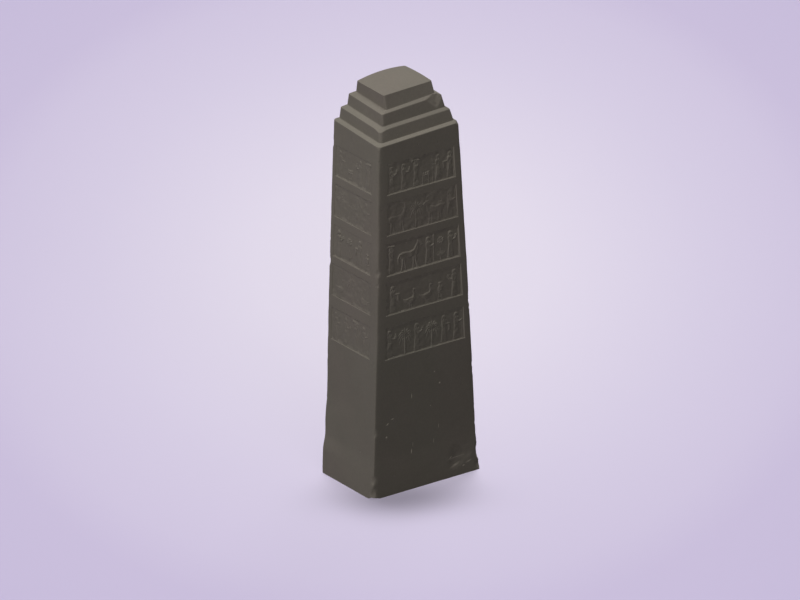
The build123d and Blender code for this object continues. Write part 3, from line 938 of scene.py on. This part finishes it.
def limestone(name, carved):
    """Dark warm-grey limestone: faint mottling, a fine pecked grain and a few small pits.

    Carved stone's edges are also shaded a little crisper than their mesh.
    """
    material = bpy.data.materials.new(name)
    n = Nodes(material)
    place = n.add("TexCoord")["Object"]
    body = n.ramp(n.cloud(place, 5.0, 5.0, 0.55), [
        (0.3, (0.184, 0.168, 0.142)), (0.52, (0.192, 0.175, 0.148)), (0.72, (0.198, 0.18, 0.154))])
    speck = n.cloud(place, 90.0, 4.0, 0.6)
    grain = n.ramp(speck, [(0.35, (0.95, 0.95, 0.95)), (0.65, (1.045, 1.045, 1.045))])
    stain = n.cloud(place, 1.7, 3.0, 0.5, distortion=0.6)
    tint = n.ramp(stain, [(0.35, (0.985, 1.0, 0.98)), (0.65, (1.02, 0.993, 1.0))])
    # the stone's colour is darker towards the bottom, from LOW_SHADE at half a metre up to full at a metre and
    # a half
    height = n.add("SeparateXYZ", {"Vector": place})["Z"]
    colour = n.multiply(n.multiply(body, grain), tint)
    colour = n.shaded(colour, n.remap(height, 0.5, 1.5, LOW_SHADE, 1.0))
    normal = n.bump(n.cloud(place, 260.0, 3.0, 0.6), 0.35, 0.0006)
    pits = n.add("TexVoronoi", {"Vector": place, "Scale": 15.0})["Distance"]
    normal = n.bump(n.remap(pits, 0.03, 0.08, 0.0, 1.0), 0.8, 0.002, Normal=normal)
    if carved:
        relief = n.add("Attribute", attribute_name="relief")["Fac"]
        normal = n.bump(relief, 1.0, 0.0042, Normal=normal)
    else:
        marks = front_marks(n, place)
        normal = n.bump(n.math("MULTIPLY", marks, -1.0), 1.0, 0.0012, Normal=normal)
        # the marks are painted up to 3.2 times paler: partly the paler colour of freshly chipped stone, partly
        # a painted highlight for the bright spots the marks catch
        colour = n.shaded(colour, n.remap(marks, 0.0, 1.0, 1.0, 3.2))
    shader = n.add("BsdfPrincipled", {"Base Color": colour, "Roughness": n.remap(speck, 0.3, 0.7, 0.72, 0.9),
                                      "Specular IOR Level": 0.25, "Normal": normal})
    n.add("OutputMaterial", {"Surface": shader["BSDF"]})
    return material


# ======== floor, light and camera ========

# the photo's camera: where it looks from, its roll, and what it aims at above the origin and to its right
VIEW_AZIMUTH = math.radians(-34.66)
VIEW_ELEVATION = math.radians(22.97)
VIEW_ROLL = math.radians(0.885)
VIEW_DISTANCE = 50.0
VIEW_LENS = 484.9
VIEW_HEIGHT = 0.8657
VIEW_SIDE = 0.0055

BACK = Vector((math.sin(VIEW_AZIMUTH) * math.cos(VIEW_ELEVATION),
               -math.cos(VIEW_AZIMUTH) * math.cos(VIEW_ELEVATION), math.sin(VIEW_ELEVATION)))
RIGHT = Vector((math.cos(VIEW_AZIMUTH), math.sin(VIEW_AZIMUTH), 0.0))
UP = BACK.cross(RIGHT)


def make_camera():
    camera = show("camera", bpy.data.cameras.new("camera"))
    bpy.context.scene.camera = camera
    camera.data.sensor_width = 36.0
    camera.data.lens = VIEW_LENS
    camera.data.clip_start = 1.0
    camera.data.clip_end = 200.0
    right = RIGHT * math.cos(VIEW_ROLL) - UP * math.sin(VIEW_ROLL)
    up = RIGHT * math.sin(VIEW_ROLL) + UP * math.cos(VIEW_ROLL)
    target = Vector((0, 0, VIEW_HEIGHT)) + RIGHT * VIEW_SIDE
    turn = Matrix((right, up, BACK)).transposed().to_4x4()
    camera.matrix_world = Matrix.Translation(target + BACK * VIEW_DISTANCE) @ turn


# painted pool of light: colour of the floor by its reach from the palest place, darker outward
FLOOR_SHADES = (
    (0.0, (0.81, 0.762, 0.884)), (0.375, (0.778, 0.725, 0.868)), (0.81, (0.687, 0.63, 0.809)),
    (1.07, (0.645, 0.583, 0.778)), (1.21, (0.603, 0.537, 0.747)), (1.6, (0.577, 0.513, 0.732)),
)
FLOOR_SQUASH = (0.54, 0.2828)  # across and away from the view
GLOW_RISE = 0.2017  # the painted pool of light's palest place shows as a point this high above the aim would
BOUNCE_COLOUR = (0.06, 0.055, 0.065)
# painted shadow: the wide soft part of the shade in front of the block, painted into the floor's colour on top
# of the lamps' own shadow, in the floor's own axes
PAINTED_SHADOW_PLACE = (-0.014, -2.835)
PAINTED_SHADOW_SPREAD = (0.211, 0.126)
PAINTED_SHADOW_DEPTH = 0.4


def floor_material():
    """Pale lavender with a painted pool of light, lightest behind the object, and a painted shadow in front of
    the block; dark to bounced light, to spare the stone its glow.
    """
    material = bpy.data.materials.new("floor")
    n = Nodes(material)
    place = n.add("TexCoord")["Object"]
    # painted pool of light: the floor's colour darkens with reach from its palest place
    squash = n.add("Mapping", {"Vector": place, "Scale": (*FLOOR_SQUASH, 1.0)})["Vector"]
    furthest = FLOOR_SHADES[-1][0]
    far = n.remap(n.vector("LENGTH", squash), 0.0, furthest, 0.0, 1.0)
    pale = n.ramp(far, [(reach / furthest, colour) for reach, colour in FLOOR_SHADES])
    # painted shadow: a soft oval of darker floor colour in front of the block, laid over the painted pool of
    # light
    across, along = PAINTED_SHADOW_SPREAD
    off = n.add("Mapping", {
        "Vector": place, "Scale": (1 / across, 1 / along, 1),
        "Location": (-PAINTED_SHADOW_PLACE[0] / across, -PAINTED_SHADOW_PLACE[1] / along, 0)})["Vector"]
    painted_shadow = n.math("EXPONENT", n.math("MULTIPLY", n.vector("DOT_PRODUCT", off, off), -0.5))
    pale = n.shaded(pale, n.remap(painted_shadow, 0.0, 1.0, 1.0, 1 - PAINTED_SHADOW_DEPTH))
    path = n.add("LightPath")
    seen = path["Is Camera Ray"]
    for ray in ("Is Glossy Ray", "Is Transmission Ray"):
        seen = n.math("MAXIMUM", seen, path[ray])
    colour = n.add("Mix", {0: seen, 6: (*BOUNCE_COLOUR, 1.0), 7: pale}, data_type="RGBA")[2]
    shader = n.add("BsdfDiffuse", {"Color": colour})
    n.add("OutputMaterial", {"Surface": shader["BSDF"]})
    return material


def make_floor():
    """A large level floor. Its own axes follow the view, so that its paler middle, a painted pool of light,
    reads as round.
    """
    size = 70.0
    mesh = bpy.data.meshes.new("floor")
    mesh.from_pydata([(size * x, size * y, 0) for x, y in SIGNS], [], [(0, 1, 2, 3)])
    mesh.materials.append(floor_material())
    floor = show("floor", mesh)
    away = Vector((-math.sin(VIEW_AZIMUTH), math.cos(VIEW_AZIMUTH), 0.0))
    behind = (VIEW_HEIGHT + GLOW_RISE) / math.tan(VIEW_ELEVATION)
    floor.location = away * behind + RIGHT * VIEW_SIDE
    floor.rotation_euler = (0, 0, VIEW_AZIMUTH)


def make_light():
    """Soft light from overhead, weaker lamps from the left, front and back right, and an even sky."""
    def sun(name, towards, strength, angle, colour, shadow=True):
        lamp = bpy.data.lights.new(name, "SUN")
        lamp.use_shadow = shadow
        lamp.energy = strength
        lamp.angle = math.radians(angle)
        lamp.color = colour
        holder = show(name, lamp)
        holder.rotation_mode = "QUATERNION"
        holder.rotation_quaternion = Vector(towards).to_track_quat("Z", "Y")
    sun("overhead", (0.0856, 0.124, 1.0), 0.85, 10.0, (1.0, 0.995, 0.98))
    sun("overhead fill", (0.023, 0.023, 1.0), 1.58, 10.0, (1.0, 0.995, 0.98), shadow=False)
    sun("side", (-1.0, -0.08, 0.12), 1.15, 16.0, (1.0, 0.975, 0.99), shadow=False)
    sun("front", (-0.3, -1.0, 0.25), 0.43, 40.0, (1.0, 0.985, 0.93))
    sun("back", (1.0, 0.7, 0.12), 0.55, 30.0, (1.0, 0.99, 0.97))
    world = bpy.data.worlds.new("sky")
    bpy.context.scene.world = world
    n = Nodes(world)
    glow = n.add("Background", {"Color": (1.0, 0.99, 0.95, 1.0), "Strength": 0.12})[0]
    backdrop = n.add("Background", {"Color": (0.58, 0.515, 0.7, 1.0)})[0]
    seen = n.add("LightPath")["Is Camera Ray"]
    mix = n.add("MixShader", {"Fac": seen, 1: glow, 2: backdrop})["Shader"]
    n.add("OutputWorld", {"Surface": mix})


bpy.context.scene.view_settings.view_transform = "Standard"
make_camera()
make_floor()
make_light()
make_block(limestone("limestone", False))
carved_stone = limestone("carved limestone", True)
for face in range(4):
    for register in range(len(REGISTERS)):
        make_field(face, register, carved_stone)
